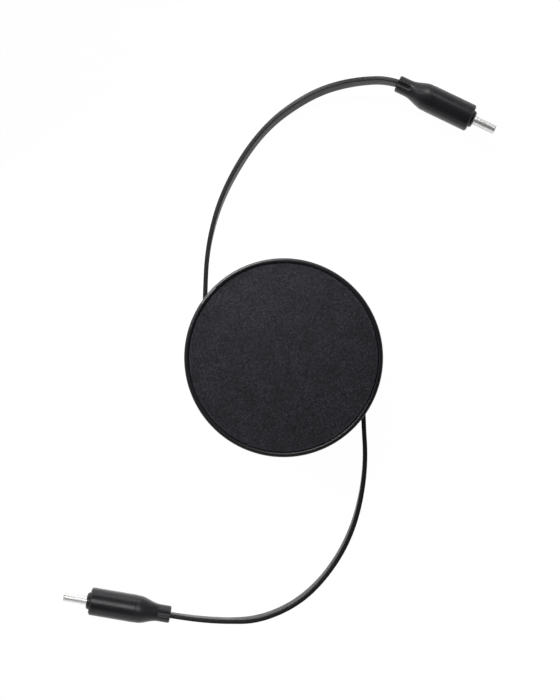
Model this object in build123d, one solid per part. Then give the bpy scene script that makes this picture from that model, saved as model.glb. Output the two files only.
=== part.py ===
# Retractable charging cable: a round spring reel with a flat lead drawn out on each side,
# each lead ending in a small reversible charging plug that lies on its narrow side.
# Millimetres. The back rests on z = 0, +Z comes out of the covered front, the origin is the centre of the back.
from build123d import *
import math
import os

# Case
CASE_DIA = 58.0
SIDE_WALL = 1.7
BACK_WALL = 1.4
CEILING = 1.4
BACK_BEVEL = 0.9
RIM_WIDTH = 1.25
RIM_PROUD = 0.35
RIM_OUTER_ROUND = 0.85
RIM_BEVEL_RUN = 0.35
RIM_BEVEL_DROP = 0.2
INLAY_THICK = 0.8
INLAY_GAP = 0.08
INLAY_BEVEL = 0.25
LIP_WIDTH = 0.75
LIP_HEIGHT = 0.8
LIP_GAP = 0.06
PARTING_BEVEL = 0.2

# Flat lead
RIBBON_WIDTH = 4.0
RIBBON_THICK = 1.3
RIBBON_SIDE_GAP = 0.3
EXIT_INSET = 5.9
SLOT_GAP = 0.45
SLOT_FLARE_DEG = 14.0
SLOT_FLARE_DEPTH = 1.2
FLOOR_GAP = 0.15

# Reel
RUN_GAP = 0.3
THRUST_GAP = 0.05
FLANGE_GAP = 0.8
FLANGE_THICK = 1.0
COVER_THICK = 1.0
COVER_SPIGOT = 0.4
COVER_SPIGOT_WALL = 0.8
HUB_RADIUS = 13.0
HUB_WALL = 1.0
POST_RADIUS = 3.0
POST_GAP = 0.05
SEAT_GAP = 0.05
COLLAR_WALL = 1.2
FOLD_SLOT_SPARE = 0.6
WIND_GAP = 0.3

# Clock spring
SPRING_TURNS = 8
SPRING_THICK = 0.25
SPRING_SIDE_GAP = 0.5
SPRING_END_GAP = 0.5
SPRING_HOOK = 1.4
SPRING_SLIT = 0.8

# Ball latch
BALL_DIA = 2.0
BALL_GAP = 0.05
TRACK_DEPTH = 1.0
TRACK_INNER = 7.0
TRACK_WALL = 0.8
LANE_GAP = 0.15
ISLAND_WIDTH = 1.0
ISLANDS = 4
ISLAND_GAP = 6.0

# Centre screw
SCREW_RADIUS = 0.8
SCREW_HEAD_RADIUS = 1.6
SCREW_HEAD_HEIGHT = 0.9
SCREW_HEAD_BEVEL = 0.45
SCREW_LENGTH = 5.4
SCREW_GAP = 0.1
SCREW_CROSS = 0.4
SCREW_CROSS_DEPTH = 0.5
SCREW_CROSS_SPAN = 1.9
PILOT_GAP = 0.02

# Plug
PLUG_WIDTH = 8.1
BOOT_LENGTH = 10.3
BODY_LENGTH = 13.5
BODY_WALL = 0.8
BODY_FRONT_WALL = 1.2
BODY_FRONT_BEVEL = 0.4
SEAM_BEVEL = 0.15
PLUG_FIT_GAP = 0.05
NOSE_WIDTH = 4.9
NOSE_LIP = 0.3
NOSE_LEDGE = 0.25
NOSE_PROUD = 0.95
NOSE_BEVEL = 0.4
NOSE_FLANGE = 1.5
SHELL_WIDTH = 8.25
SHELL_THICK = 2.4
SHELL_WALL = 0.3
SHELL_REACH = 6.8
SHELL_LENGTH = 11.0
SHELL_TIP_BEVEL = 0.12
TAIL_WIDTH = 5.0
TAIL_HEIGHT = 7.0
TAIL_BEVEL = 0.3
NECK_LENGTH = 3.4
BOOT_LAND = 0.7
SHOULDER_STEPS = 5
GROOVE_RADIUS = 1.3
GROOVE_DEPTH = 0.6
SPIGOT_LENGTH = 3.0
ENTRY_GAP = 0.15
ENTRY_DEPTH = 8.0
ENTRY_FLARE_DEPTH = 2.6
ENTRY_FLARE_DEG = 12.0

# Plug inside
BOARD_THICK = 0.8
BOARD_HEIGHT = 7.0
BOARD_GAP = 0.2
INSULATOR_GAP = 0.03
INSULATOR_RECESS = 0.4
MOUTH_HEIGHT = 6.7
MOUTH_WIDTH = 1.0
MOUTH_DEPTH = 5.9
CONTACTS_PER_SIDE = 12
CONTACT_PITCH = 0.5
CONTACT_WIDTH = 0.25
CONTACT_THICK = 0.12
CONTACT_LENGTH = 4.6
LATCH_THICK = 0.16
LATCH_ARM = 0.35
LATCH_GAP = 0.04
LATCH_SHORT = 1.0

# Heights of the stack from the back to the rim
cover_bottom = BACK_WALL + RUN_GAP
cover_top = cover_bottom + COVER_THICK
ribbon_z = cover_top + RIBBON_SIDE_GAP + RIBBON_WIDTH / 2
flange_bottom = ribbon_z + RIBBON_WIDTH / 2 + RIBBON_SIDE_GAP
flange_top = flange_bottom + FLANGE_THICK
track_top = flange_top + TRACK_DEPTH
ceiling_z = track_top + RUN_GAP
recess_floor = ceiling_z + CEILING
rim_top = recess_floor + INLAY_THICK + RIM_PROUD
parting_z = ribbon_z
head_seat_z = recess_floor - SCREW_HEAD_HEIGHT - SCREW_GAP
post_top = flange_top + RUN_GAP
lying_z = RIBBON_WIDTH / 2 + FLOOR_GAP

# Radii from the case inwards
case_r = CASE_DIA / 2
inner_r = case_r - SIDE_WALL
lip_r = inner_r + LIP_WIDTH
recess_r = case_r - RIM_WIDTH
flange_r = inner_r - FLANGE_GAP
exit_x = case_r - EXIT_INSET
wound_r = exit_x - RIBBON_THICK / 2 - WIND_GAP
hub_inner_r = HUB_RADIUS - HUB_WALL
bore_r = POST_RADIUS + POST_GAP
collar_r = bore_r + COLLAR_WALL

# Ball lanes on the upper flange
lane = BALL_DIA + 2 * LANE_GAP
island_inner_r = TRACK_INNER + lane
island_outer_r = island_inner_r + ISLAND_WIDTH
track_outer_r = island_outer_r + lane
ball_rest_r = island_outer_r + lane / 2
ball_inner_r = TRACK_INNER + lane / 2
ball_z = flange_top + BALL_GAP + BALL_DIA / 2

# Plug sizes that follow from the steel shell and the walls round it
nose_height = SHELL_WIDTH + 2 * NOSE_LIP
cavity_height = nose_height + 2 * NOSE_LEDGE + 2 * PLUG_FIT_GAP
cavity_width = PLUG_WIDTH - 2 * BODY_WALL
plug_height = cavity_height + 2 * BODY_WALL
plug_z = plug_height / 2
body_front = BOOT_LENGTH + BODY_LENGTH
nose_front = body_front + NOSE_PROUD
shell_tip = nose_front + SHELL_REACH
shell_rear = shell_tip - SHELL_LENGTH

# Lead routes, from the line where the ribbon leaves the wound turns: across, along, height.
# The last point is ENTRY_DEPTH inside the boot, and the point before it lies on the plug's axis too.
LEAD_A_PLUG_DEG = -25.6
LEAD_B_PLUG_DEG = 170.3
LEAD_A_TAIL = (56.4, 80.2)
LEAD_B_TAIL = (-56.2, -75.1)
LEAD_APPROACH = 0.3
LEAD_LAST_RISE = 0.875
LEAD_A_ROUTE = [
    (0.0, 2.0, ribbon_z),
    (0.0, 17.6, ribbon_z),
    (0.9, 33.5, lying_z + 1.55),
    (5.7, 49.5, lying_z + 0.25),
    (16.7, 66.7, lying_z),
    (31.4, 77.5, lying_z + 0.45),
    (47.2, 81.6, plug_z - LEAD_LAST_RISE),
]
LEAD_B_ROUTE = [
    (0.0, -1.0, ribbon_z),
    (0.0, -14.9, ribbon_z),
    (1.2, -33.7, lying_z + 1.55),
    (-3.6, -53.4, lying_z + 0.25),
    (-14.9, -69.1, lying_z),
    (-29.8, -77.1, lying_z + 0.45),
    (-47.0, -76.7, plug_z - LEAD_LAST_RISE),
]


def save(node, shape):
    export_step(shape, f"parts/{node}.step")


def ring(outer, inner, bottom, top):
    return Pos(0, 0, bottom) * extrude(Circle(outer) - Circle(inner), top - bottom)


def disc(radius, bottom, top):
    return Pos(0, 0, bottom) * extrude(Circle(radius), top - bottom)


def turned(points, round_at=None, radius=0.0):
    """Solid of revolution about Z from (radius, height) points, with one of them rounded if it is named."""
    profile = make_face(Polyline(*points, close=True))
    if round_at:
        profile = fillet(profile.vertices().sort_by_distance(round_at)[0], radius)
    return revolve(Plane.XZ * profile, Axis.Z)


# Case pieces


def lead_slots():
    """The two openings in the side wall that the ribbons run out through, flared at the mouth."""
    width = RIBBON_THICK + 2 * SLOT_GAP
    height = RIBBON_WIDTH + 2 * SLOT_GAP
    inside_y = math.sqrt(inner_r**2 - (exit_x + width / 2) ** 2) - SIDE_WALL
    mouth_y = math.sqrt(case_r**2 - exit_x**2) - SLOT_FLARE_DEPTH
    outside_y = case_r
    run = Plane((-exit_x, inside_y, ribbon_z), x_dir=(1, 0, 0), z_dir=(0, 1, 0))
    mouth = Plane((-exit_x, mouth_y, ribbon_z), x_dir=(1, 0, 0), z_dir=(0, 1, 0))
    straight = extrude(run * Rectangle(width, height), outside_y - inside_y)
    flare = extrude(mouth * Rectangle(width, height), outside_y - mouth_y, taper=-SLOT_FLARE_DEG)
    one = straight + flare
    return one + Rot(0, 0, 180) * one


def back_shell():
    cup = turned(
        [
            (0, 0),
            (case_r - BACK_BEVEL, 0),
            (case_r, BACK_BEVEL),
            (case_r, parting_z - PARTING_BEVEL),
            (case_r - PARTING_BEVEL, parting_z),
            (lip_r, parting_z),
            (lip_r, parting_z + LIP_HEIGHT),
            (inner_r, parting_z + LIP_HEIGHT),
            (inner_r, BACK_WALL),
            (0, BACK_WALL),
        ]
    )
    post = disc(POST_RADIUS, BACK_WALL, post_top)
    thrust_ring = ring(collar_r + COLLAR_WALL, bore_r + COLLAR_WALL / 2, BACK_WALL, cover_bottom - THRUST_GAP)
    pilot = disc(SCREW_RADIUS + PILOT_GAP, head_seat_z - SCREW_LENGTH - SCREW_GAP, post_top)
    slit_bottom = cover_top + SPRING_SIDE_GAP - SEAT_GAP
    slit_outer = POST_RADIUS + SPRING_SLIT
    slit_inner = POST_RADIUS - SPRING_HOOK - SEAT_GAP
    slit_x = (slit_outer + slit_inner) / 2
    slit_height = post_top - slit_bottom
    slit = Pos(slit_x, 0, slit_bottom + slit_height / 2) * Box(slit_outer - slit_inner, SPRING_SLIT, slit_height)
    return cup + post + thrust_ring - pilot - slit - lead_slots()


def front_shell():
    groove_r = lip_r + LIP_GAP
    groove_top = parting_z + LIP_HEIGHT + LIP_GAP
    cap = turned(
        [
            (0, ceiling_z),
            (inner_r, ceiling_z),
            (inner_r, groove_top),
            (groove_r, groove_top),
            (groove_r, parting_z),
            (case_r - PARTING_BEVEL, parting_z),
            (case_r, parting_z + PARTING_BEVEL),
            (case_r, rim_top),
            (recess_r + RIM_BEVEL_RUN, rim_top),
            (recess_r, rim_top - RIM_BEVEL_DROP),
            (recess_r, recess_floor),
            (0, recess_floor),
        ],
        round_at=(case_r, rim_top),
        radius=RIM_OUTER_ROUND,
    )
    boss = disc(POST_RADIUS - POST_GAP, post_top, ceiling_z)
    thrust_ring = ring(collar_r, bore_r + POST_GAP, track_top + THRUST_GAP, ceiling_z)
    screw_way = disc(SCREW_RADIUS + SCREW_GAP, post_top, recess_floor)
    head_seat = disc(SCREW_HEAD_RADIUS + SCREW_GAP, head_seat_z, recess_floor)
    channel_width = BALL_DIA + 2 * LANE_GAP
    channel_length = ball_rest_r - ball_inner_r + channel_width
    channel_top = ball_z + BALL_DIA / 2 + BALL_GAP
    channel = extrude(SlotOverall(channel_length, channel_width, rotation=90), channel_top - ceiling_z)
    channel_place = Pos(0, (ball_rest_r + ball_inner_r) / 2, ceiling_z)
    return cap + boss + thrust_ring - screw_way - head_seat - channel_place * channel - lead_slots()


def front_inlay():
    top = recess_floor + INLAY_THICK
    edge_r = recess_r - INLAY_GAP
    bevel_r = edge_r - INLAY_BEVEL
    return turned(
        [(0, recess_floor), (edge_r, recess_floor), (edge_r, top - INLAY_BEVEL), (bevel_r, top), (0, top)]
    )


def centre_screw():
    head_top = head_seat_z + SCREW_HEAD_HEIGHT
    head = turned(
        [
            (0, head_seat_z),
            (SCREW_HEAD_RADIUS, head_seat_z),
            (SCREW_HEAD_RADIUS, head_top - SCREW_HEAD_BEVEL),
            (SCREW_HEAD_RADIUS - SCREW_HEAD_BEVEL, head_top),
            (0, head_top),
        ]
    )
    shank = disc(SCREW_RADIUS, head_seat_z - SCREW_LENGTH, head_seat_z)
    bar = Pos(0, 0, head_top - SCREW_CROSS_DEPTH / 2) * Box(SCREW_CROSS_SPAN, SCREW_CROSS, SCREW_CROSS_DEPTH)
    return head + shank - bar - Rot(0, 0, 90) * bar


# Reel pieces


def spool():
    flange = ring(flange_r, bore_r, flange_bottom, flange_top)
    hub = ring(HUB_RADIUS, hub_inner_r, cover_top, flange_bottom)
    collar = ring(collar_r, bore_r, flange_top, track_top)
    inner_wall = ring(TRACK_INNER, TRACK_INNER - TRACK_WALL, flange_top, track_top)
    outer_wall = ring(track_outer_r + TRACK_WALL, track_outer_r, flange_top, track_top)
    islands = ring(island_outer_r, island_inner_r, flange_top, track_top)
    island_mid_r = (island_inner_r + island_outer_r) / 2
    # The ball crosses between lanes through the gaps; the hollow end of each island catches it.
    half_gap_deg = math.degrees(math.asin(ISLAND_GAP / 2 / island_mid_r))
    for index in range(ISLANDS):
        gap_deg = 90 + index * 360 / ISLANDS
        gap = Pos(island_mid_r, 0, track_top) * Box(lane, ISLAND_GAP, 2 * TRACK_DEPTH)
        catch = Pos(island_mid_r, 0, track_top) * Cylinder(BALL_DIA / 2 + LANE_GAP, 2 * TRACK_DEPTH)
        islands -= Rot(0, 0, gap_deg) * gap
        islands -= Rot(0, 0, gap_deg - half_gap_deg) * catch
    spring_slot_height = flange_bottom - cover_top
    slot_z = cover_top + spring_slot_height / 2
    spring_slot = Pos(HUB_RADIUS, 0, slot_z) * Box(4 * HUB_WALL, SPRING_SLIT, spring_slot_height)
    fold_width = 2 * RIBBON_THICK + FOLD_SLOT_SPARE
    fold_slot = Pos(-HUB_RADIUS, 0, slot_z) * Box(4 * HUB_WALL, fold_width, spring_slot_height)
    hub = hub - spring_slot - fold_slot
    return flange + hub + collar + inner_wall + outer_wall + islands


def spool_cover():
    plate = ring(flange_r, bore_r, cover_bottom, cover_top)
    spigot_r = hub_inner_r - SEAT_GAP
    spigot = ring(spigot_r, spigot_r - COVER_SPIGOT_WALL, cover_top, cover_top + COVER_SPIGOT)
    return plate + spigot


def clock_spring():
    """Strip wound as half turns about two centres, hooked in the post inside and in the hub outside."""
    start_r = POST_RADIUS + SPRING_END_GAP
    pitch = (hub_inner_r - SPRING_END_GAP - start_r) / SPRING_TURNS
    half = SPRING_THICK / 2
    outer_edge = []
    inner_edge = []
    for step in range(2 * SPRING_TURNS):
        radius = start_r + step * pitch / 2
        centre = (0, 0) if step % 2 == 0 else (pitch / 2, 0)
        begin_deg = 0 if step % 2 == 0 else 180
        outer_edge.append(CenterArc(centre, radius + half, begin_deg, 180))
        inner_edge.append(CenterArc(centre, radius - half, begin_deg, 180))
    end_x = pitch / 2 + start_r + (2 * SPRING_TURNS - 1) * pitch / 2
    caps = [
        Line((start_r - half, 0), (start_r + half, 0)),
        Line((end_x - half, 0), (end_x + half, 0)),
    ]
    strip = make_face(Wire(outer_edge + inner_edge + caps))
    hook_inner = POST_RADIUS - SPRING_HOOK
    hook_reach = start_r + half - hook_inner
    inner_hook = Pos(hook_inner + hook_reach / 2, -half) * Rectangle(hook_reach, SPRING_THICK)
    tab_outer = HUB_RADIUS - SEAT_GAP
    tab_reach = tab_outer - end_x + half
    outer_tab = Pos(tab_outer - tab_reach / 2, half) * Rectangle(tab_reach, SPRING_THICK)
    bottom = cover_top + SPRING_SIDE_GAP
    top = flange_bottom - SPRING_SIDE_GAP
    return Pos(0, 0, bottom) * extrude(strip + inner_hook + outer_tab, top - bottom)


def latch_ball():
    return Pos(0, ball_rest_r, ball_z) * Sphere(BALL_DIA / 2)


def cable_windings():
    bottom = ribbon_z - RIBBON_WIDTH / 2
    return ring(wound_r, HUB_RADIUS + SEAT_GAP, bottom, bottom + RIBBON_WIDTH)


# Leads


def route_points(side, route, tail, plug_deg):
    """Route in the part's frame, finished along the plug's axis into the boot."""
    start_x = side * exit_x
    points = [Vector(start_x + across, along, height) for across, along, height in route]
    axis = Vector(math.cos(math.radians(plug_deg)), math.sin(math.radians(plug_deg)), 0)
    tail_point = Vector(start_x + tail[0], tail[1], plug_z)
    points.append(tail_point - axis * LEAD_APPROACH)
    points.append(tail_point + axis * ENTRY_DEPTH)
    return points, tail_point


def lead(name, points):
    """Flat ribbon standing on edge along straight runs joined by arcs as large as the runs allow."""
    radii = []
    for before, corner, after in zip(points, points[1:], points[2:]):
        turn = (corner - before).get_angle(after - corner)
        shorter = min((corner - before).length, (after - corner).length)
        radii.append(0.45 * shorter / math.tan(math.radians(turn / 2)))
    path = FilletPolyline(*points, radius=radii)
    start = Plane(points[0], x_dir=(1, 0, 0), z_dir=points[1] - points[0])
    ribbon = sweep(start * Rectangle(RIBBON_THICK, RIBBON_WIDTH), path)
    print(name, "bend radii", [round(radius, 1) for radius in radii])
    print(name, "length", round(path.length, 1), "volume", round(ribbon.volume, 1))
    print(name, "section times length", round(RIBBON_THICK * RIBBON_WIDTH * path.length, 1))
    return ribbon


# Plug pieces, along +X from the end of the boot, with the axis on z = 0


def oval(x, width, height):
    return Pos(x, 0, 0) * (Plane.YZ * SlotOverall(height, width, rotation=90))


def prism(x, length, width, height):
    return extrude(oval(x, width, height), length)


def plug_boot():
    """Strain relief: a slim grooved neck that swells to the housing's size, with a spigot into the housing."""
    full_width = PLUG_WIDTH - SEAM_BEVEL
    full_height = plug_height - SEAM_BEVEL
    neck = prism(0, NECK_LENGTH, TAIL_WIDTH, TAIL_HEIGHT)
    neck = chamfer(neck.faces().sort_by(Axis.X)[0].edges(), TAIL_BEVEL)
    land_start = BOOT_LENGTH - BOOT_LAND
    land = prism(land_start, BOOT_LAND, full_width, full_height)
    sections = []
    for step in range(SHOULDER_STEPS + 1):
        t = step / SHOULDER_STEPS
        swell = t * t * (3 - 2 * t)
        width = TAIL_WIDTH + (full_width - TAIL_WIDTH) * swell
        height = TAIL_HEIGHT + (full_height - TAIL_HEIGHT) * swell
        sections.append(oval(NECK_LENGTH + (land_start - NECK_LENGTH) * t, width, height))
    boot = neck + loft(sections) + land
    fit = 2 * PLUG_FIT_GAP
    spigot = prism(BOOT_LENGTH, SPIGOT_LENGTH, cavity_width - fit, cavity_height - fit)
    ribbon_way = Pos(ENTRY_DEPTH / 2, 0, 0) * Box(
        ENTRY_DEPTH + 2 * ENTRY_GAP, RIBBON_THICK + 2 * ENTRY_GAP, RIBBON_WIDTH + 2 * ENTRY_GAP
    )
    flare_face = Plane((ENTRY_FLARE_DEPTH, 0, 0), x_dir=(0, 1, 0), z_dir=(-1, 0, 0))
    flare_start = Rectangle(RIBBON_THICK + 2 * ENTRY_GAP, RIBBON_WIDTH + 2 * ENTRY_GAP)
    flare = extrude(flare_face * flare_start, ENTRY_FLARE_DEPTH + ENTRY_GAP, taper=-ENTRY_FLARE_DEG)
    board_end = BOOT_LENGTH + SPIGOT_LENGTH
    board_way = Pos((ENTRY_DEPTH + board_end) / 2, 0, 0) * Box(
        board_end - ENTRY_DEPTH, BOARD_THICK + 2 * BOARD_GAP, BOARD_HEIGHT + 2 * BOARD_GAP
    )
    groove_z = TAIL_HEIGHT / 2 + GROOVE_RADIUS - GROOVE_DEPTH
    groove = extrude(Plane.YZ * Circle(GROOVE_RADIUS), NECK_LENGTH) + Pos(NECK_LENGTH, 0, 0) * Sphere(GROOVE_RADIUS)
    boot = boot + spigot - ribbon_way - flare - board_way
    return boot - Pos(0, 0, groove_z) * groove - Pos(0, 0, -groove_z) * groove


def plug_body():
    sleeve = prism(BOOT_LENGTH, BODY_LENGTH, PLUG_WIDTH, plug_height)
    sleeve = chamfer(sleeve.faces().sort_by(Axis.X)[-1].edges(), BODY_FRONT_BEVEL)
    sleeve = chamfer(sleeve.faces().sort_by(Axis.X)[0].edges(), SEAM_BEVEL)
    cavity = prism(BOOT_LENGTH, BODY_LENGTH - BODY_FRONT_WALL, cavity_width, cavity_height)
    front_way = prism(BOOT_LENGTH, BODY_LENGTH, NOSE_WIDTH + 2 * PLUG_FIT_GAP, nose_height + 2 * PLUG_FIT_GAP)
    return sleeve - cavity - front_way


def plug_nose():
    fit = 2 * PLUG_FIT_GAP
    seat = body_front - BODY_FRONT_WALL
    front = prism(seat - NOSE_FLANGE, nose_front - seat + NOSE_FLANGE, NOSE_WIDTH, nose_height)
    front = chamfer(front.faces().sort_by(Axis.X)[-1].edges(), NOSE_BEVEL)
    flange = prism(seat - NOSE_FLANGE, NOSE_FLANGE, cavity_width - fit, cavity_height - fit)
    shell_way = prism(seat - NOSE_FLANGE, nose_front, SHELL_THICK + fit, SHELL_WIDTH + fit)
    return front + flange - shell_way


def plug_shell():
    tube = prism(shell_rear, SHELL_LENGTH, SHELL_THICK, SHELL_WIDTH)
    tube = chamfer(tube.faces().sort_by(Axis.X)[-1].edges(), SHELL_TIP_BEVEL)
    return tube - prism(shell_rear, SHELL_LENGTH, SHELL_THICK - 2 * SHELL_WALL, SHELL_WIDTH - 2 * SHELL_WALL)


def plug_insulator():
    gap = 2 * (SHELL_WALL + INSULATOR_GAP)
    front = shell_tip - INSULATOR_RECESS
    block = prism(shell_rear, front - shell_rear, SHELL_THICK - gap, SHELL_WIDTH - gap)
    mouth_rear = front - MOUTH_DEPTH
    mouth = Pos(front - MOUTH_DEPTH / 2, 0, 0) * Box(MOUTH_DEPTH, MOUTH_WIDTH, MOUTH_HEIGHT)
    slit_width = LATCH_THICK + 2 * LATCH_GAP
    slit_height = MOUTH_HEIGHT
    slit = Pos((shell_rear + mouth_rear) / 2, 0, 0) * Box(mouth_rear - shell_rear, slit_width, slit_height)
    return block - mouth - slit


def plug_contacts():
    """Sprung contact blades in two facing rows on the walls of the mouth."""
    front = shell_tip - INSULATOR_RECESS
    middle_x = front - MOUTH_DEPTH / 2
    blades = []
    for side in (-1, 1):
        y = side * (MOUTH_WIDTH - CONTACT_THICK) / 2
        for index in range(CONTACTS_PER_SIDE):
            z = (index - (CONTACTS_PER_SIDE - 1) / 2) * CONTACT_PITCH
            blades.append(Pos(middle_x, y, z) * Box(CONTACT_LENGTH, CONTACT_THICK, CONTACT_WIDTH))
    return blades


def plug_latches():
    """One stamped steel fork: a plate through the insulator and an arm at each end of the mouth."""
    mouth_rear = shell_tip - INSULATOR_RECESS - MOUTH_DEPTH
    plate_height = MOUTH_HEIGHT - 2 * LATCH_GAP
    plate = Pos((shell_rear + mouth_rear) / 2, 0, 0) * Box(mouth_rear - shell_rear, LATCH_THICK, plate_height)
    arm_length = MOUTH_DEPTH - LATCH_SHORT
    arm_z = (plate_height - LATCH_ARM) / 2
    arm = Pos(mouth_rear + arm_length / 2, 0, arm_z) * Box(arm_length, LATCH_THICK, LATCH_ARM)
    return plate + arm + mirror(arm, Plane.XY)


def plug_board():
    rear = ENTRY_DEPTH + BOARD_GAP
    front = shell_rear - BOARD_GAP
    return Pos((rear + front) / 2, 0, 0) * Box(front - rear, BOARD_THICK, BOARD_HEIGHT)


os.makedirs("parts", exist_ok=True)

save("back_shell", back_shell())
save("front_shell", front_shell())
save("front_inlay", front_inlay())
save("centre_screw", centre_screw())
save("spool", spool())
save("spool_cover", spool_cover())
save("clock_spring", clock_spring())
save("latch_ball", latch_ball())
save("cable_windings", cable_windings())

plug_pieces = {
    "boot": plug_boot(),
    "body": plug_body(),
    "nose": plug_nose(),
    "shell": plug_shell(),
    "insulator": plug_insulator(),
    "contacts": plug_contacts(),
    "latches": plug_latches(),
    "board": plug_board(),
}
leads = {
    "a": (-1, LEAD_A_ROUTE, LEAD_A_TAIL, LEAD_A_PLUG_DEG),
    "b": (1, LEAD_B_ROUTE, LEAD_B_TAIL, LEAD_B_PLUG_DEG),
}
for letter, (side, route, tail, plug_deg) in leads.items():
    points, tail_point = route_points(side, route, tail, plug_deg)
    save(f"cable_{letter}_lead", lead(f"cable_{letter}_lead", points))
    place = Pos(tail_point.X, tail_point.Y, tail_point.Z) * Rot(0, 0, plug_deg)
    for piece, shape in plug_pieces.items():
        placed = Compound([place * blade for blade in shape]) if isinstance(shape, list) else place * shape
        save(f"plug_{letter}_{piece}", placed)
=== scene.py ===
import math
import bmesh
import bpy
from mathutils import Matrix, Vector


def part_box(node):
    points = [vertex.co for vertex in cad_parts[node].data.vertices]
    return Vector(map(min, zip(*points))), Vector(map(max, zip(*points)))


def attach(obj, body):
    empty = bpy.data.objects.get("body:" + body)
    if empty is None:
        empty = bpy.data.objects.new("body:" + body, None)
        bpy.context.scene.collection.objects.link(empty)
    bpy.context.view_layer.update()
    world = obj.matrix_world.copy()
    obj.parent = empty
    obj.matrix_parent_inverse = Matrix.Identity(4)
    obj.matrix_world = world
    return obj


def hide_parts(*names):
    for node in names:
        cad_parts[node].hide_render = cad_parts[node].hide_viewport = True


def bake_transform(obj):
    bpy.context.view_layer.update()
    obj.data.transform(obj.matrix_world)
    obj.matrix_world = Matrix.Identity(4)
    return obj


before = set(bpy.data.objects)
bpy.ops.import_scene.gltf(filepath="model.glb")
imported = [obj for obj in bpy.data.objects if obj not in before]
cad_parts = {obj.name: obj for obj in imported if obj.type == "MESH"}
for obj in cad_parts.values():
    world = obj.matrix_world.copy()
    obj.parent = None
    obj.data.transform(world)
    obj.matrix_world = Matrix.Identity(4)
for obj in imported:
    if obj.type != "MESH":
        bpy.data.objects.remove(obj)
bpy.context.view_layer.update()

# Back shell: the lower half of the round reel case, which lies on the table.
# Black ABS, injection moulded in a spark-eroded mould, with the centre post moulded in one with it.

# Sizes are written in millimetres, and this turns them to metres.
MM = 0.001
# Where a Mix node has its two colours and its result, because its sockets' names repeat for other kinds.
MIX_A, MIX_B, MIX_COLOUR = 6, 7, 2
# Nearly all of a noise pattern lies between these values.
NOISE_LOW, NOISE_HIGH = 0.3, 0.7


def hex_colour(code):
    """Linear RGBA of an sRGB hex colour."""
    channels = [int(code[start : start + 2], 16) / 255 for start in (0, 2, 4)]
    linear = [c / 12.92 if c <= 0.04045 else ((c + 0.055) / 1.055) ** 2.4 for c in channels]
    return (*linear, 1.0)


def add_node(tree, kind, inputs, **settings):
    """One node with its settings. An input is a value, or another node's output to link."""
    node = tree.nodes.new(kind)
    for name, value in settings.items():
        setattr(node, name, value)
    for name, value in inputs.items():
        if isinstance(value, bpy.types.NodeSocket):
            tree.links.new(value, node.inputs[name])
        else:
            node.inputs[name].default_value = value
    return node


def new_finish(name, colour, roughness, metallic=0.0, ior=1.5, shine=0.5):
    """A material, its node tree and its shader, with what is the same all over the surface."""
    material = bpy.data.materials.new(name)
    material.use_nodes = True
    tree = material.node_tree
    shader = tree.nodes["Principled BSDF"]
    shader.inputs["Base Color"].default_value = hex_colour(colour)
    shader.inputs["Roughness"].default_value = roughness
    shader.inputs["Metallic"].default_value = metallic
    shader.inputs["IOR"].default_value = ior
    shader.inputs["Specular IOR Level"].default_value = shine
    return material, tree, shader


def drift_colour(tree, shader, place, patch_mm, dark, light):
    """Base colour that drifts between two near tones in patches of a real size. Gives the patches back."""
    patches = add_node(
        tree, "ShaderNodeTexNoise", {"Vector": place, "Scale": 1 / (patch_mm * MM), "Detail": 3.0}
    )
    tone = add_node(
        tree,
        "ShaderNodeMix",
        {0: patches.outputs["Fac"], MIX_A: hex_colour(dark), MIX_B: hex_colour(light)},
        data_type="RGBA",
    )
    tree.links.new(tone.outputs[MIX_COLOUR], shader.inputs["Base Color"])
    return patches.outputs["Fac"]


def drift_roughness(tree, shader, source, low, high):
    """Roughness that follows a noise pattern from low to high."""
    spread = add_node(
        tree,
        "ShaderNodeMapRange",
        {"Value": source, "From Min": NOISE_LOW, "From Max": NOISE_HIGH, "To Min": low, "To Max": high},
    )
    tree.links.new(spread.outputs["Result"], shader.inputs["Roughness"])


def add_relief(tree, shader, height, depth_mm):
    """Fine relief of a real depth from a height field between 0 and 1."""
    bump = add_node(tree, "ShaderNodeBump", {"Height": height, "Distance": depth_mm * MM, "Strength": 1.0})
    tree.links.new(bump.outputs["Normal"], shader.inputs["Normal"])


def add_grit(tree, shader, place, grit_mm, depth_mm):
    """Relief of a moulded grit of a real size and depth."""
    grit = add_node(
        tree, "ShaderNodeTexNoise", {"Vector": place, "Scale": 1 / (grit_mm * MM), "Detail": 2.0}
    )
    add_relief(tree, shader, grit.outputs["Fac"], depth_mm)


def paint(node_name, material):
    """One material all over a CAD node."""
    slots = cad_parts[node_name].data.materials
    slots.clear()
    slots.append(material)


# Moulded ABS with a spark-eroded texture: a dull black with a broad, soft highlight.
# The real grit is about 0.1 mm and is drawn at 0.3 mm, so that it shows.
ABS_PATCH_MM = 9.0
ABS_GRIT_MM = 0.3
ABS_GRIT_DEPTH_MM = 0.003
black_abs, tree, shader = new_finish("spark_textured_black_abs", "151518", roughness=0.36, shine=0.24)
place = add_node(tree, "ShaderNodeTexCoord", {}).outputs["Object"]
patches = drift_colour(tree, shader, place, ABS_PATCH_MM, dark="121215", light="19191d")
drift_roughness(tree, shader, patches, low=0.32, high=0.4)
add_grit(tree, shader, place, ABS_GRIT_MM, ABS_GRIT_DEPTH_MM)
paint("back_shell", black_abs)

# Clock spring: the strip that rewinds the reel, wound inside the hub and hooked into the post's slit.
# Spring steel, cold rolled and slit to width, with a bent hook at each end.


def fine_lines(tree, place, stretch, line_mm):
    """Noise drawn out into lines of a real width, with its scale along each axis."""
    drawn_out = add_node(tree, "ShaderNodeMapping", {"Vector": place, "Scale": stretch})
    lines = add_node(
        tree,
        "ShaderNodeTexNoise",
        {"Vector": drawn_out.outputs["Vector"], "Scale": 1 / (line_mm * MM), "Detail": 2.0},
    )
    return lines.outputs["Fac"]


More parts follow.
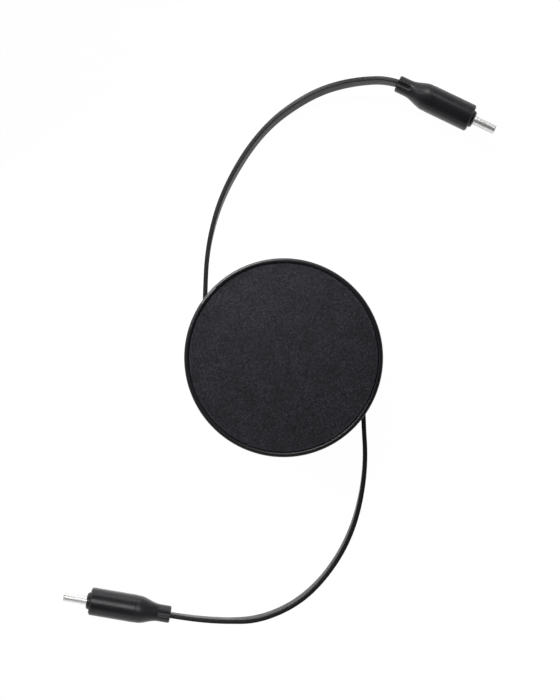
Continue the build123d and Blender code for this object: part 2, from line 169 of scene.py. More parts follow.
# Rolled steel strip: a semi-bright grey with faint lines along the strip, which lies level round the post.
ROLL_LINE_MM = 0.12
ROLL_LINE_STRETCH = 0.03
STRIP_PATCH_MM = 4.0
spring_steel, tree, shader = new_finish("rolled_spring_steel", "8b8d93", roughness=0.3, metallic=1.0)
place = add_node(tree, "ShaderNodeTexCoord", {}).outputs["Object"]
rolled = fine_lines(tree, place, (ROLL_LINE_STRETCH, ROLL_LINE_STRETCH, 1.0), ROLL_LINE_MM)
drift_roughness(tree, shader, rolled, low=0.24, high=0.38)
drift_colour(tree, shader, place, STRIP_PATCH_MM, dark="7d8088", light="999aa0")
paint("clock_spring", spring_steel)

# Spool and its lower cover: the reel that the leads are wound on, pushed together round the spring.
# Both are injection moulded in natural acetal, which runs on the post without oil.

# Moulded acetal: a milky off-white with a waxy, low sheen, through which a little light passes.
ACETAL_FLOW_MM = 6.0
ACETAL_MILKINESS = 0.15
ACETAL_LIGHT_REACH_MM = 0.6
acetal, tree, shader = new_finish("moulded_natural_acetal", "dedcd3", roughness=0.36, ior=1.48)
place = add_node(tree, "ShaderNodeTexCoord", {}).outputs["Object"]
flow = drift_colour(tree, shader, place, ACETAL_FLOW_MM, dark="d6d4ca", light="e6e4dc")
drift_roughness(tree, shader, flow, low=0.32, high=0.42)
shader.inputs["Subsurface Weight"].default_value = ACETAL_MILKINESS
shader.inputs["Subsurface Scale"].default_value = ACETAL_LIGHT_REACH_MM * MM
for piece in ("spool", "spool_cover"):
    paint(piece, acetal)

# Wound turns: both leads lie on the hub together as two flat spirals, one inside the other.
# The same black elastomer ribbon as outside, standing on edge between the flanges.
RIBBON_WIDTH = 4.0
RIBBON_THICK = 1.3
WOUND_TURNS = 3.0
TURN_GAP = 0.06
STEPS_IN_A_TURN = 48

# Extruded elastomer: satin black with fine die lines along the ribbon and a slightly cloudy tone.
# The lines follow the ribbon's own UV map, which is in metres along and around it.
DIE_LINE_MM = 0.16
DIE_LINE_STRETCH = 0.02
DIE_LINE_DEPTH_MM = 0.006
RIBBON_CLOUD_MM = 5.0
ribbon_tpe, tree, shader = new_finish("extruded_black_elastomer", "1d1d1f", roughness=0.4, shine=0.22)
along = add_node(tree, "ShaderNodeUVMap", {}, uv_map="along_around").outputs["UV"]
drawn = fine_lines(tree, along, (DIE_LINE_STRETCH, 1.0, 1.0), DIE_LINE_MM)
cloud = drift_colour(tree, shader, along, RIBBON_CLOUD_MM, dark="19191b", light="212123")
drift_roughness(tree, shader, cloud, low=0.36, high=0.46)
add_relief(tree, shader, drawn, DIE_LINE_DEPTH_MM)


def start_shape(name, sizes):
    """A geometry tree with a named input for each size, its input node, and the inputs' identifiers."""
    tree = bpy.data.node_groups.new(name, "GeometryNodeTree")
    for way in ("INPUT", "OUTPUT"):
        tree.interface.new_socket("Geometry", in_out=way, socket_type="NodeSocketGeometry")
    sockets = {
        label: tree.interface.new_socket(label, in_out="INPUT", socket_type="NodeSocketFloat").identifier
        for label in sizes
    }
    return tree, add_node(tree, "NodeGroupInput", {}), sockets


def end_shape(tree, geometry, material):
    """The end of a geometry tree: real faces instead of instances, their material, and the way out."""
    whole = add_node(tree, "GeometryNodeRealizeInstances", {"Geometry": geometry})
    coated = add_node(
        tree, "GeometryNodeSetMaterial", {"Geometry": whole.outputs["Geometry"], "Material": material}
    )
    add_node(tree, "NodeGroupOutput", {"Geometry": coated.outputs["Geometry"]})


def made_by_nodes(name, start_mesh, tree, sizes, sockets):
    """A plain mesh object from a node tree and the sizes for its named inputs."""
    source = bpy.data.objects.new(name + "_source", start_mesh)
    bpy.context.scene.collection.objects.link(source)
    modifier = source.modifiers.new("shape", "NODES")
    modifier.node_group = tree
    for label, value in sizes.items():
        modifier[sockets[label]] = value
    bpy.context.view_layer.update()
    depsgraph = bpy.context.evaluated_depsgraph_get()
    mesh = bpy.data.meshes.new_from_object(source.evaluated_get(depsgraph))
    bpy.data.objects.remove(source)
    mesh.name = name
    piece = bpy.data.objects.new(name, mesh)
    bpy.context.scene.collection.objects.link(piece)
    return piece


windings_low, windings_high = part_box("cable_windings")
wound_outer = windings_high.x / MM - RIBBON_THICK / 2
wound_inner = wound_outer - WOUND_TURNS * 2 * RIBBON_THICK
wound_sizes = {
    "Turns": WOUND_TURNS,
    "Inner radius": wound_inner * MM,
    "Outer radius": wound_outer * MM,
    "Thickness": (RIBBON_THICK - TURN_GAP) * MM,
    "Width": RIBBON_WIDTH * MM,
    "Height": (windings_low.z + windings_high.z) / 2,
}
tree, given, sockets = start_shape("two_wound_ribbons", wound_sizes)
spiral = add_node(
    tree,
    "GeometryNodeCurveSpiral",
    {
        "Resolution": STEPS_IN_A_TURN,
        "Rotations": given.outputs["Turns"],
        "Start Radius": given.outputs["Inner radius"],
        "End Radius": given.outputs["Outer radius"],
        "Height": 0.0,
        "Reverse": False,
    },
)
upright = add_node(tree, "GeometryNodeSetCurveNormal", {"Curve": spiral.outputs["Curve"]}, mode="Z_UP")
section = add_node(
    tree,
    "GeometryNodeCurvePrimitiveQuadrilateral",
    {"Width": given.outputs["Thickness"], "Height": given.outputs["Width"]},
)
length = add_node(tree, "GeometryNodeSplineParameter", {}).outputs["Length"]
measured = {}
for label, curve in (("along", upright), ("around", section)):
    measured[label] = add_node(
        tree,
        "GeometryNodeStoreNamedAttribute",
        {"Geometry": curve.outputs["Curve"], "Name": label, "Value": length},
        data_type="FLOAT",
        domain="POINT",
    ).outputs["Geometry"]
strip = add_node(
    tree,
    "GeometryNodeCurveToMesh",
    {"Curve": measured["along"], "Profile Curve": measured["around"], "Fill Caps": True},
)
along, around = (
    add_node(tree, "GeometryNodeInputNamedAttribute", {"Name": label}, data_type="FLOAT")
    for label in ("along", "around")
)
unrolled = add_node(
    tree, "ShaderNodeCombineXYZ", {"X": along.outputs["Attribute"], "Y": around.outputs["Attribute"]}
)
mapped = add_node(
    tree,
    "GeometryNodeStoreNamedAttribute",
    {"Geometry": strip.outputs["Mesh"], "Name": "along_around", "Value": unrolled.outputs["Vector"]},
    data_type="FLOAT2",
    domain="CORNER",
)
lift = add_node(tree, "ShaderNodeCombineXYZ", {"Z": given.outputs["Height"]})
first = add_node(
    tree,
    "GeometryNodeTransform",
    {"Geometry": mapped.outputs["Geometry"], "Translation": lift.outputs["Vector"]},
)
second = add_node(
    tree, "GeometryNodeTransform", {"Geometry": first.outputs["Geometry"], "Rotation": (0.0, 0.0, math.pi)}
)
both = add_node(tree, "GeometryNodeJoinGeometry", {"Geometry": first.outputs["Geometry"]})
tree.links.new(second.outputs["Geometry"], both.inputs["Geometry"])
end_shape(tree, both.outputs["Geometry"], ribbon_tpe)

wound_start = bpy.data.meshes.new("empty_start")
wound_ribbons = made_by_nodes("wound_ribbons", wound_start, tree, wound_sizes, sockets)
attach(wound_ribbons, "reel")
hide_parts("cable_windings")

# Latch ball: a bearing ball in the front shell's channel, which the spool's islands catch.
# Chrome steel, hardened, ground and lapped: mirror bright, with only the faintest clouding.
BALL_HAZE_MM = 0.5
bearing_steel, tree, shader = new_finish("lapped_chrome_steel", "c9cacd", roughness=0.1, metallic=1.0)
place = add_node(tree, "ShaderNodeTexCoord", {}).outputs["Object"]
haze = drift_colour(tree, shader, place, BALL_HAZE_MM, dark="c2c3c7", light="d2d3d6")
drift_roughness(tree, shader, haze, low=0.07, high=0.14)
paint("latch_ball", bearing_steel)

# Front shell: the upper half of the case, with the raised round rim that frames the inlay.
# The same moulded ABS as the back, held to it by a lip at the parting line and the centre screw.
paint("front_shell", black_abs)

# Centre screw: a cross-recess self-tapping screw down into the post, hidden under the inlay.
# Zinc plated steel: pale, slightly blue and a little cloudy.
SPANGLE_MM = 0.7
zinc_plate, tree, shader = new_finish("clear_zinc_plate", "b9bcc2", roughness=0.34, metallic=1.0)
place = add_node(tree, "ShaderNodeTexCoord", {}).outputs["Object"]
spangle = drift_colour(tree, shader, place, SPANGLE_MM, dark="adb1b9", light="c8cacd")
drift_roughness(tree, shader, spangle, low=0.28, high=0.42)
paint("centre_screw", zinc_plate)

# Front inlay: a disc of leatherette bonded into the recess of the front shell.
# Embossed polyurethane on a backing, charcoal, cut with a knife and slightly rounded at its edge.
PEBBLE_MM = 0.62
PEBBLE_RELIEF_MM = 0.03
EDGE_BEVEL_MM = 0.25
GRAIN_RINGS = 170
GRAIN_SEED = 4.0
# Shares of a pebble: how far the grooves wander, and how far their slopes reach from the middle.
GROOVE_SWAY = 0.45
GROOVE_REACH = 0.16
# The grain takes only what lies no deeper than this under the face.
FACE_MARGIN_MM = 0.01

# Embossed polyurethane: charcoal with a mottled tone on the pebbles' tops, and painted shade that darkens
# the grooves.
# The tops vary from pebble to pebble, so from afar the face looks finely mottled.
MOTTLE_MM = 0.9
MOTTLE_LOW, MOTTLE_HIGH = 0.34, 0.66
MOTTLE_DEPTH_MM = 0.01
CLOUD_MM = 5.0
CLOUD_SHARE = 0.25
leatherette, tree, shader = new_finish(
    "embossed_charcoal_leatherette", "2b2a30", roughness=0.76, shine=0.25
)
place = add_node(tree, "ShaderNodeTexCoord", {}).outputs["Object"]
tops = add_node(tree, "ShaderNodeAttribute", {}, attribute_name="pebble").outputs["Fac"]
mottle = add_node(
    tree,
    "ShaderNodeTexNoise",
    {"Vector": place, "Scale": 1 / (MOTTLE_MM * MM), "Detail": 4.0, "Roughness": 0.85},
)
cloud = add_node(tree, "ShaderNodeTexNoise", {"Vector": place, "Scale": 1 / (CLOUD_MM * MM), "Detail": 1.0})
tone = add_node(
    tree,
    "ShaderNodeMath",
    {0: cloud.outputs["Fac"], 1: CLOUD_SHARE, 2: mottle.outputs["Fac"]},
    operation="MULTIPLY_ADD",
)
spread = add_node(
    tree,
    "ShaderNodeMapRange",
    {
        "Value": tone.outputs["Value"],
        "From Min": MOTTLE_LOW + CLOUD_SHARE / 2,
        "From Max": MOTTLE_HIGH + CLOUD_SHARE / 2,
    },
)
mottled_top_tone = add_node(
    tree,
    "ShaderNodeMix",
    {0: spread.outputs["Result"], MIX_A: hex_colour("18171b"), MIX_B: hex_colour("37363f")},
    data_type="RGBA",
)
# Painted shade: the grooves between the pebbles are painted near black, following the stored share of a
# pebble's top.
painted_groove_shade = add_node(
    tree,
    "ShaderNodeMix",
    {0: tops, MIX_A: hex_colour("0f0e11"), MIX_B: mottled_top_tone.outputs[MIX_COLOUR]},
    data_type="RGBA",
)
tree.links.new(painted_groove_shade.outputs[MIX_COLOUR], shader.inputs["Base Color"])
drift_roughness(tree, shader, mottle.outputs["Fac"], low=0.7, high=0.82)
add_relief(tree, shader, mottle.outputs["Fac"], MOTTLE_DEPTH_MM)


def grain_disc(face_r, edge_r, bottom, top, bevel):
    """Even triangles in six-sided rings over the face, then the bevelled edge, the side and the back."""
    bm = bmesh.new()
    rings = [[bm.verts.new((0, 0, top))]]
    for ring in range(1, GRAIN_RINGS + 1):
        radius = face_r * ring / GRAIN_RINGS
        turns = [2 * math.pi * step / (6 * ring) for step in range(6 * ring)]
        rings.append([bm.verts.new((radius * math.cos(a), radius * math.sin(a), top)) for a in turns])
    for ring in range(1, GRAIN_RINGS + 1):
        outer, inner = rings[ring], rings[ring - 1]
        for side in range(6):
            for step in range(ring):
                a = side * ring + step
                c = (side * (ring - 1) + step) % len(inner)
                bm.faces.new((inner[c], outer[a], outer[(a + 1) % len(outer)]))
                if step < ring - 1:
                    bm.faces.new((inner[c], outer[(a + 1) % len(outer)], inner[(c + 1) % len(inner)]))
    rim = rings[-1]
    for radius, height in ((edge_r, top - bevel), (edge_r, bottom)):
        out = radius / face_r
        lower = [bm.verts.new((v.co.x * out, v.co.y * out, height)) for v in rings[-1]]
        for a in range(len(rim)):
            b = (a + 1) % len(rim)
            bm.faces.new((rim[a], lower[a], lower[b], rim[b]))
        rim = lower
    bm.faces.new(reversed(rim))
    mesh = bpy.data.meshes.new("grain_disc")
    bm.to_mesh(mesh)
    bm.free()
    for face in mesh.polygons:
        face.use_smooth = face.normal.z > 0.5
    return mesh


inlay_low, inlay_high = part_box("front_inlay")
edge_r = inlay_high.x
face_r = edge_r - EDGE_BEVEL_MM * MM
grain_sizes = {
    "Pebbles per metre": 1 / (PEBBLE_MM * MM),
    "Relief": PEBBLE_RELIEF_MM * MM,
    "Face radius": face_r,
    "Fade radius": face_r - PEBBLE_MM * MM,
    "Face height": inlay_high.z - FACE_MARGIN_MM * MM,
    "Seed": GRAIN_SEED,
}
tree, given, sockets = start_shape("embossed_grain", grain_sizes)
pebbles = given.outputs["Pebbles per metre"]
point = add_node(tree, "GeometryNodeInputPosition", {}).outputs["Position"]
sway = add_node(
    tree,
    "ShaderNodeTexNoise",
    {"Vector": point, "W": given.outputs["Seed"], "Scale": pebbles, "Detail": 1.0},
    noise_dimensions="4D",
)
swayed = add_node(
    tree,
    "ShaderNodeVectorMath",
    {0: sway.outputs["Color"], "Scale": GROOVE_SWAY * PEBBLE_MM * MM},
    operation="SCALE",
)
moved = add_node(tree, "ShaderNodeVectorMath", {0: point, 1: swayed.outputs["Vector"]}, operation="ADD")
cells = add_node(
    tree,
    "ShaderNodeTexVoronoi",
    {"Vector": moved.outputs["Vector"], "W": given.outputs["Seed"], "Scale": pebbles},
    voronoi_dimensions="4D",
    feature="DISTANCE_TO_EDGE",
)
pebble = add_node(
    tree,
    "ShaderNodeMapRange",
    {"Value": cells.outputs["Distance"], "From Min": 0.0, "From Max": GROOVE_REACH},
    interpolation_type="SMOOTHSTEP",
)
flat_point = add_node(tree, "ShaderNodeVectorMath", {0: point, 1: (1.0, 1.0, 0.0)}, operation="MULTIPLY")
reach = add_node(tree, "ShaderNodeVectorMath", {0: flat_point.outputs["Vector"]}, operation="LENGTH")
inside = add_node(
    tree,
    "ShaderNodeMapRange",
    {
        "Value": reach.outputs["Value"],
        "From Min": given.outputs["Face radius"],
        "From Max": given.outputs["Fade radius"],
    },
    interpolation_type="SMOOTHSTEP",
)
height = add_node(tree, "ShaderNodeSeparateXYZ", {"Vector": point}).outputs["Z"]
on_face = add_node(
    tree, "ShaderNodeMath", {0: height, 1: given.outputs["Face height"]}, operation="GREATER_THAN"
)
groove = add_node(tree, "ShaderNodeMath", {0: 1.0, 1: pebble.outputs["Result"]}, operation="SUBTRACT")
sunk = groove.outputs["Value"]
for limit in (inside.outputs["Result"], on_face.outputs["Value"]):
    sunk = add_node(tree, "ShaderNodeMath", {0: sunk, 1: limit}, operation="MULTIPLY").outputs["Value"]
depth = add_node(tree, "ShaderNodeMath", {0: sunk, 1: given.outputs["Relief"]}, operation="MULTIPLY")
down = add_node(tree, "ShaderNodeMath", {0: depth.outputs["Value"], 1: -1.0}, operation="MULTIPLY")
offset = add_node(tree, "ShaderNodeCombineXYZ", {"Z": down.outputs["Value"]})
# The share of a pebble's top, stored for the material, which paints shade into the grooves.
top_share = add_node(tree, "ShaderNodeMath", {0: 1.0, 1: sunk}, operation="SUBTRACT")
marked = add_node(
    tree,
    "GeometryNodeStoreNamedAttribute",
    {"Geometry": given.outputs["Geometry"], "Name": "pebble", "Value": top_share.outputs["Value"]},
    data_type="FLOAT",
    domain="POINT",
)
embossed = add_node(
    tree,
    "GeometryNodeSetPosition",
    {"Geometry": marked.outputs["Geometry"], "Offset": offset.outputs["Vector"]},
)
end_shape(tree, embossed.outputs["Geometry"], leatherette)

grain_start = grain_disc(face_r, edge_r, inlay_low.z, inlay_high.z, EDGE_BEVEL_MM * MM)
leatherette_inlay = made_by_nodes("leatherette_inlay", grain_start, tree, grain_sizes, sockets)
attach(leatherette_inlay, "case")
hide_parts("front_inlay")

# Leads outside the case: two flat ribbons that stand on edge, run out of the slots and curl to the plugs.
# Extruded elastomer over stranded conductors, springy enough to keep the curl of the reel.
RIBBON_ROUND = 0.2
ROUND_STEPS = 4
ROUTE_STEPS = 24
EXIT_X = 23.1
LEAD_HEIGHT = 5.0
# Each plug's turn in degrees, and the middle of its boot's rear end.
PLUG_TURN = {"a": -25.6, "b": 170.3}
PLUG_TAIL = {"a": (33.3, 80.2), "b": (-33.1, -75.1)}
PLUG_HEIGHT = 5.525
# The ribbon comes to the boot from one side of its axis and straightens inside it.
MOUTH_OFFSET = {"a": 1.04, "b": 0.29}
PLUG_APPROACH = 0.3
PLUG_ENTRY = 8.0
LEAD_ROUTE = {
    "a": [
        (-EXIT_X, 2.0, LEAD_HEIGHT),
        (-EXIT_X, 17.6, LEAD_HEIGHT),
        (-22.2, 33.5, 3.7),
        (-17.4, 49.5, 2.4),
        (-6.48, 66.78, 2.15),
        (7.43, 76.99, 2.55),
        (20.0, 80.9, 4.2),
    ],
    "b": [
        (EXIT_X, -1.0, LEAD_HEIGHT),
        (EXIT_X, -14.9, LEAD_HEIGHT),
        (24.3, -33.7, 3.7),
        (19.6, -53.45, 2.4),
        (8.3, -69.2, 2.15),
        (-5.75, -76.75, 2.55),
        (-19.0, -77.1, 4.2),
    ],
}
# How far the ribbon leans outwards from upright, in degrees, at distances along it in millimetres.
LEAD_LEAN = {
    "a": [(0, 0), (22, 0), (63, 14.5), (84, 20.5), (96, 20), (106, 18), (118, 14.5), (128, 0), (140, 0)],
    "b": [(0, 0), (24, 0), (62, 9), (76, 12.5), (90, 12.5), (98, 8.5), (120, 6), (130, 0), (140, 0)],
}


def route_line(letter):
    """Points in metres along the smooth curve that the route's points steer."""
    turn = math.radians(PLUG_TURN[letter])
    axis = Vector((math.cos(turn), math.sin(turn), 0))
    across = Vector((-axis.y, axis.x, 0))
    tail = Vector((*PLUG_TAIL[letter], PLUG_HEIGHT))
    route = [Vector(point) for point in LEAD_ROUTE[letter]]
    route += [tail - axis * PLUG_APPROACH + across * MOUTH_OFFSET[letter], tail + axis * PLUG_ENTRY]
    curve = bpy.data.curves.new("lead_route", "CURVE")
    curve.dimensions = "3D"
    curve.resolution_u = ROUTE_STEPS
    spline = curve.splines.new("NURBS")
    spline.points.add(len(route) - 1)
    for control, point in zip(spline.points, route):
        control.co = (*(point * MM), 1.0)
    spline.order_u = 3
    spline.use_endpoint_u = True
    carrier = bpy.data.objects.new("lead_route", curve)
    bpy.context.scene.collection.objects.link(carrier)
    bpy.context.view_layer.update()
    depsgraph = bpy.context.evaluated_depsgraph_get()
    mesh = bpy.data.meshes.new_from_object(carrier.evaluated_get(depsgraph))
    line = [vertex.co.copy() for vertex in mesh.vertices]
    bpy.data.objects.remove(carrier)
    bpy.data.curves.remove(curve)
    bpy.data.meshes.remove(mesh)
    return line


def ribbon_outline():
    """(sideways, upwards) points in metres round the ribbon's section, with rounded edges."""
    corners = [(1, 1, 0), (-1, 1, 90), (-1, -1, 180), (1, -1, 270)]
    outline = []
    for side, up, begin in corners:
        for step in range(ROUND_STEPS + 1):
            a = math.radians(begin + 90 * step / ROUND_STEPS)
            across = side * (RIBBON_THICK / 2 - RIBBON_ROUND) + RIBBON_ROUND * math.cos(a)
            high = up * (RIBBON_WIDTH / 2 - RIBBON_ROUND) + RIBBON_ROUND * math.sin(a)
            outline.append((across * MM, high * MM))
    return outline


def lean_at(along_mm, leans):
    """Lean in radians, eased between the listed distances."""
    for (begin, first), (end, second) in zip(leans, leans[1:]):
        if along_mm <= end:
            t = (along_mm - begin) / (end - begin)
            return math.radians(first + (second - first) * t * t * (3 - 2 * t))
    return math.radians(leans[-1][1])


def ribbon_mesh(name, line, leans):
    """Closed ribbon along the line, with its UV map in metres along and around."""
    outline = ribbon_outline()
    count = len(outline)
    around = [0.0]
    for here, there in zip(outline, outline[1:] + outline[:1]):
        around.append(around[-1] + math.dist(here, there))
    bm = bmesh.new()
    uv = bm.loops.layers.uv.new("along_around")
    rings = []
    distances = []
    travelled = 0.0
    for index, point in enumerate(line):
        before = line[max(index - 1, 0)]
        after = line[min(index + 1, len(line) - 1)]
        travelled += (point - before).length
        ahead = (after - before).normalized()
        left = Vector((0, 0, 1)).cross(ahead).normalized()
        upright = ahead.cross(left)
        lean = lean_at(travelled / MM, leans)
        up = upright * math.cos(lean) + left * math.sin(lean)
        side = left * math.cos(lean) - upright * math.sin(lean)
        rings.append([bm.verts.new(point + side * a + up * b) for a, b in outline])
        distances.append(travelled)
    for index, (ring, following) in enumerate(zip(rings, rings[1:])):
        for a in range(count):
            b = (a + 1) % count
            face = bm.faces.new((ring[a], following[a], following[b], ring[b]))
            face.smooth = True
            near, far = distances[index], distances[index + 1]
            corners = ((near, around[a]), (far, around[a]), (far, around[a + 1]), (near, around[a + 1]))
            for loop, corner in zip(face.loops, corners):
                loop[uv].uv = corner
    bm.faces.new(rings[0])
    bm.faces.new(reversed(rings[-1]))
    bmesh.ops.recalc_face_normals(bm, faces=bm.faces)
    mesh = bpy.data.meshes.new(name)
    bm.to_mesh(mesh)
    bm.free()
    return mesh


for letter, side in (("a", -1), ("b", 1)):
    line = route_line(letter)
    mesh = ribbon_mesh(f"ribbon_{letter}", line, LEAD_LEAN[letter])
    ribbon = bpy.data.objects.new(f"ribbon_{letter}", mesh)
    bpy.context.scene.collection.objects.link(ribbon)
    ribbon.data.materials.append(ribbon_tpe)
    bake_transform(ribbon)
    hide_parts(f"cable_{letter}_lead")

# Boots: the strain reliefs moulded onto the ribbons, waisted and grooved at the ribbon's end.
# Soft black elastomer, moulded: satin, with a very fine grain that is drawn at 0.3 mm, so that it shows.
BOOT_PATCH_MM = 4.0
BOOT_GRIT_MM = 0.3
BOOT_GRIT_DEPTH_MM = 0.002
boot_rubber, tree, shader = new_finish("moulded_black_rubber", "17171a", roughness=0.4, shine=0.35)
place = add_node(tree, "ShaderNodeTexCoord", {}).outputs["Object"]
patches = drift_colour(tree, shader, place, BOOT_PATCH_MM, dark="141417", light="1b1b1f")
drift_roughness(tree, shader, patches, low=0.36, high=0.46)
add_grit(tree, shader, place, BOOT_GRIT_MM, BOOT_GRIT_DEPTH_MM)
for letter in PLUG_TURN:
    paint(f"plug_{letter}_boot", boot_rubber)

# Plug housings and noses: the sleeves round the plug's inside, pushed on over the boot's spigot.
# Black polycarbonate blend, moulded: satin, with a tighter highlight than the case.
# Its fine grain, too, is drawn at 0.3 mm.
HOUSING_PATCH_MM = 5.0
HOUSING_GRIT_MM = 0.3
HOUSING_GRIT_DEPTH_MM = 0.001
satin_black, tree, shader = new_finish("satin_black_polycarbonate", "19191d", roughness=0.33, shine=0.31)
place = add_node(tree, "ShaderNodeTexCoord", {}).outputs["Object"]
patches = drift_colour(tree, shader, place, HOUSING_PATCH_MM, dark="151518", light="1e1e22")
drift_roughness(tree, shader, patches, low=0.29, high=0.38)
add_grit(tree, shader, place, HOUSING_GRIT_MM, HOUSING_GRIT_DEPTH_MM)
for letter in PLUG_TURN:
    paint(f"plug_{letter}_body", satin_black)
    paint(f"plug_{letter}_nose", satin_black)

# Plug shells: the oval steel sleeves that go into the socket.
# Deep-drawn stainless steel, nickel plated: pale and satin, with faint draw lines along the plug.
DRAW_LINE_MM = 0.1
DRAW_LINE_STRETCH = 0.03
PLATING_PATCH_MM = 2.0
for letter, turn in PLUG_TURN.items():
    drawn_steel, tree, shader = new_finish(
        f"drawn_nickel_steel_{letter}", "d6d6d5", roughness=0.46, metallic=1.0
    )
    place = add_node(tree, "ShaderNodeTexCoord", {}).outputs["Object"]
    straight = add_node(
        tree,
        "ShaderNodeMapping",
        {"Vector": place, "Rotation": (0.0, 0.0, math.radians(turn))},
        vector_type="TEXTURE",
    )
    drawn = fine_lines(tree, straight.outputs["Vector"], (DRAW_LINE_STRETCH, 1.0, 1.0), DRAW_LINE_MM)
    drift_roughness(tree, shader, drawn, low=0.43, high=0.5)
    drift_colour(tree, shader, place, PLATING_PATCH_MM, dark="d2d2d1", light="dadad9")
    paint(f"plug_{letter}_shell", drawn_steel)

# Insulators: the blocks in the shells that hold the contacts and leave the mouth for the socket's tongue.
# Glass-filled nylon, moulded: a dry, matt black with pale glass flecks.
FLECK_MM = 0.25
filled_nylon, tree, shader = new_finish("glass_filled_black_nylon", "19191a", roughness=0.58)
place = add_node(tree, "ShaderNodeTexCoord", {}).outputs["Object"]
patches = drift_colour(tree, shader, place, FLECK_MM, dark="131314", light="212122")
drift_roughness(tree, shader, patches, low=0.5, high=0.66)
for letter in PLUG_TURN:
    paint(f"plug_{letter}_insulator", filled_nylon)

# Contacts and latch forks: stamped blades in the mouth, and the sprung fork that grips the socket.
# The blades are copper alloy under hard gold, the fork is bare stainless strip.

# Hard gold plate: a warm, fairly bright yellow with a faint haze.
GOLD_HAZE_MM = 0.4
hard_gold, tree, shader = new_finish("hard_gold_plate", "d8a748", roughness=0.24, metallic=1.0)
place = add_node(tree, "ShaderNodeTexCoord", {}).outputs["Object"]
haze = drift_colour(tree, shader, place, GOLD_HAZE_MM, dark="cf9c3e", light="e0b358")
drift_roughness(tree, shader, haze, low=0.18, high=0.3)

# Stamped stainless strip: a plain mid grey, semi-bright and a little cloudy.
STAMPED_HAZE_MM = 0.5
bare_strip, tree, shader = new_finish("stamped_stainless_strip", "b4b5b6", roughness=0.3, metallic=1.0)
place = add_node(tree, "ShaderNodeTexCoord", {}).outputs["Object"]
haze = drift_colour(tree, shader, place, STAMPED_HAZE_MM, dark="a9aaac", light="bfc0c0")
drift_roughness(tree, shader, haze, low=0.24, high=0.36)
for letter in PLUG_TURN:
    paint(f"plug_{letter}_contacts", hard_gold)
    paint(f"plug_{letter}_latches", bare_strip)

# Boards: the small circuit boards that join the ribbon's conductors to the contacts.
# Glass-epoxy under green solder mask, a little glossy, with the weave just showing.
WEAVE_MM = 0.4
solder_mask, tree, shader = new_finish("green_solder_mask", "1f5a38", roughness=0.3)
place = add_node(tree, "ShaderNodeTexCoord", {}).outputs["Object"]
weave = drift_colour(tree, shader, place, WEAVE_MM, dark="1a4d30", light="256a43")
drift_roughness(tree, shader, weave, low=0.25, high=0.36)
for letter in PLUG_TURN:
    paint(f"plug_{letter}_board", solder_mask)

# Table: a plain white sweep of paper under the object. Seen straight it is white and keeps a faint shadow,
# and a reflection shows all of its shadow. Light that bounces off it meets a pale, dull surface.

# These sizes are in metres, apart from the drop.
FLOOR_HALF = 3.0
FLOOR_DROP_MM = 0.05
SHADOW_FADE_FROM, SHADOW_FADE_TO = 0.16, 0.4
# How much of the white comes from the lamps near the object, and how bright they make white paper.
SHADOW_SHARE = 0.06
LIT_LEVEL = 0.35
bm = bmesh.new()
corners = [(-1, -1), (1, -1), (1, 1), (-1, 1)]
bm.faces.new([bm.verts.new((x * FLOOR_HALF, y * FLOOR_HALF, -FLOOR_DROP_MM * MM)) for x, y in corners])
floor_mesh = bpy.data.meshes.new("white_sweep")
bm.to_mesh(floor_mesh)
bm.free()
floor = bpy.data.objects.new("white_sweep", floor_mesh)
bpy.context.scene.collection.objects.link(floor)
sweep_paper = bpy.data.materials.new("white_sweep_paper")
sweep_paper.use_nodes = True
tree = sweep_paper.node_tree
tree.nodes.clear()
place = add_node(tree, "ShaderNodeTexCoord", {}).outputs["Object"]
reach = add_node(tree, "ShaderNodeVectorMath", {0: place}, operation="LENGTH")
near = add_node(
    tree,
    "ShaderNodeMapRange",
    {
        "Value": reach.outputs["Value"],
        "From Min": SHADOW_FADE_FROM,
        "From Max": SHADOW_FADE_TO,
        "To Min": SHADOW_SHARE,
        "To Max": 0.0,
    },
)
path = add_node(tree, "ShaderNodeLightPath", {})
deepen = add_node(
    tree,
    "ShaderNodeMath",
    {0: path.outputs["Is Glossy Ray"], 1: 1 / SHADOW_SHARE - 1, 2: 1.0},
    operation="MULTIPLY_ADD",
)
share = add_node(
    tree, "ShaderNodeMath", {0: near.outputs["Result"], 1: deepen.outputs["Value"]}, operation="MULTIPLY"
)
taken = add_node(tree, "ShaderNodeMath", {0: share.outputs["Value"], 1: LIT_LEVEL}, operation="MULTIPLY")
glow = add_node(tree, "ShaderNodeMath", {0: 1.0, 1: taken.outputs["Value"]}, operation="SUBTRACT")
lit = add_node(tree, "ShaderNodeBsdfDiffuse", {"Color": share.outputs["Value"]})
white = add_node(tree, "ShaderNodeEmission", {"Strength": glow.outputs["Value"]})
seen = add_node(tree, "ShaderNodeAddShader", {0: lit.outputs["BSDF"], 1: white.outputs["Emission"]})
dull = add_node(tree, "ShaderNodeBsdfDiffuse", {"Color": hex_colour("e4e4e4")})
looked_at = path.outputs["Is Camera Ray"]
for kind in ("Is Glossy Ray", "Is Transmission Ray"):
    looked_at = add_node(
        tree, "ShaderNodeMath", {0: looked_at, 1: path.outputs[kind]}, operation="ADD", use_clamp=True
    ).outputs["Value"]
surface = add_node(
    tree, "ShaderNodeMixShader", {0: looked_at, 1: dull.outputs["BSDF"], 2: seen.outputs["Shader"]}
)
add_node(tree, "ShaderNodeOutputMaterial", {"Surface": surface.outputs["Shader"]})
floor.data.materials.append(sweep_paper)

# Studio: a dim room with a pale strip of wall low down, which the camera itself sees as plain white.
# A low gridded key at the picture's top left, a strip for each plug, and a broad fill at its lower edge.

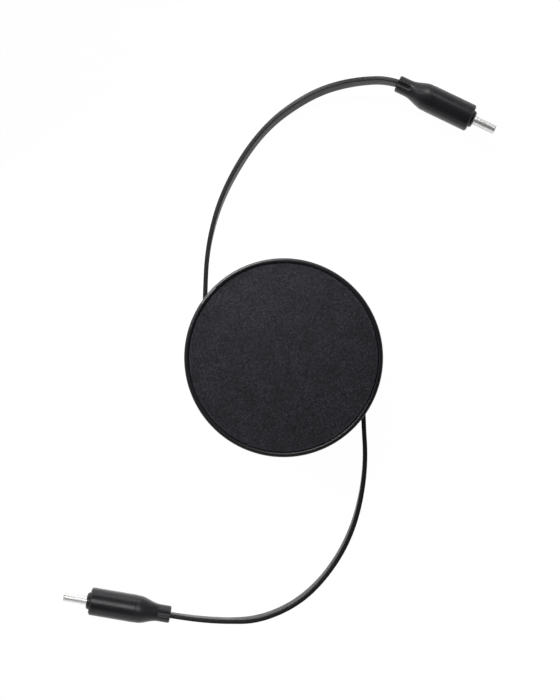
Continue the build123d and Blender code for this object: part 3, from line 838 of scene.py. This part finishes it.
# The room's glow at heights from level, 0, to straight up, 1.
ROOM_GLOW = [(0.0, 0.9), (0.17, 0.9), (0.3, 0.28), (0.6, 0.16), (1.0, 0.16)]
studio = bpy.data.worlds.new("studio")
bpy.context.scene.world = studio
studio.use_nodes = True
tree = studio.node_tree
tree.nodes.clear()
ray = add_node(tree, "ShaderNodeTexCoord", {}).outputs["Generated"]
rise = add_node(tree, "ShaderNodeSeparateXYZ", {"Vector": ray}).outputs["Z"]
room = add_node(tree, "ShaderNodeFloatCurve", {"Value": rise})
points = room.mapping.curves[0].points
for number, (height, glow) in enumerate(ROOM_GLOW):
    point = points[number] if number < len(points) else points.new(height, glow)
    point.location = (height, glow)
    point.handle_type = "VECTOR"
room.mapping.update()
path = add_node(tree, "ShaderNodeLightPath", {})
seen = add_node(
    tree,
    "ShaderNodeMath",
    {0: room.outputs["Value"], 1: path.outputs["Is Camera Ray"]},
    operation="MAXIMUM",
)
sky = add_node(
    tree, "ShaderNodeBackground", {"Color": hex_colour("ffffff"), "Strength": seen.outputs["Value"]}
)
add_node(tree, "ShaderNodeOutputWorld", {"Surface": sky.outputs["Background"]})


def add_softbox(name, place, aim, wide, high, watts, spread):
    """A soft lamp, placed in metres and turned to a point, with a grid for its spread in degrees."""
    lamp = bpy.data.lights.new(name, "AREA")
    lamp.shape = "RECTANGLE"
    lamp.size = wide
    lamp.size_y = high
    lamp.energy = watts
    lamp.spread = math.radians(spread)
    holder = bpy.data.objects.new(name, lamp)
    holder.location = place
    holder.rotation_euler = (Vector(aim) - Vector(place)).to_track_quat("-Z", "Y").to_euler()
    holder.visible_camera = False
    bpy.context.scene.collection.objects.link(holder)


FACE_POINT = (0, 0, 0.012)
add_softbox(
    "key_softbox", place=(-0.053, 0.096, 0.045), aim=FACE_POINT, wide=0.1, high=0.04, watts=0.06, spread=69
)
add_softbox(
    "plug_a_strip",
    place=(0.04, 0.19, 0.11),
    aim=(0.045, 0.074, 0.008),
    wide=0.09,
    high=0.05,
    watts=0.022,
    spread=60,
)
add_softbox(
    "plug_b_strip",
    place=(-0.03, -0.055, 0.15),
    aim=(-0.04, -0.072, 0.008),
    wide=0.1,
    high=0.06,
    watts=0.0125,
    spread=50,
)
add_softbox(
    "fill_softbox", place=(-0.1, -0.4, 0.12), aim=FACE_POINT, wide=0.4, high=0.16, watts=0.15, spread=180
)

# Camera: straight overhead, far off with a long lens, framed as in the photograph.
# The picture's height is measured on a plane level with the middle of the object.
VIEW_CENTRE = (-1.05, 2.24)
VIEW_LEVEL = 6.0
VIEW_HIGH = 204.58
CAMERA_RISE = 1600.0
SENSOR_MM = 36.0
NEAREST_SEEN, FARTHEST_SEEN = 100.0, 20000.0
camera_data = bpy.data.cameras.new("overhead_camera")
camera_data.sensor_width = SENSOR_MM
camera_data.lens = SENSOR_MM * CAMERA_RISE / VIEW_HIGH
camera_data.clip_start = NEAREST_SEEN * MM
camera_data.clip_end = FARTHEST_SEEN * MM
camera = bpy.data.objects.new("overhead_camera", camera_data)
camera.location = (VIEW_CENTRE[0] * MM, VIEW_CENTRE[1] * MM, (VIEW_LEVEL + CAMERA_RISE) * MM)
bpy.context.scene.collection.objects.link(camera)
bpy.context.scene.camera = camera
bpy.context.scene.view_settings.view_transform = "Standard"
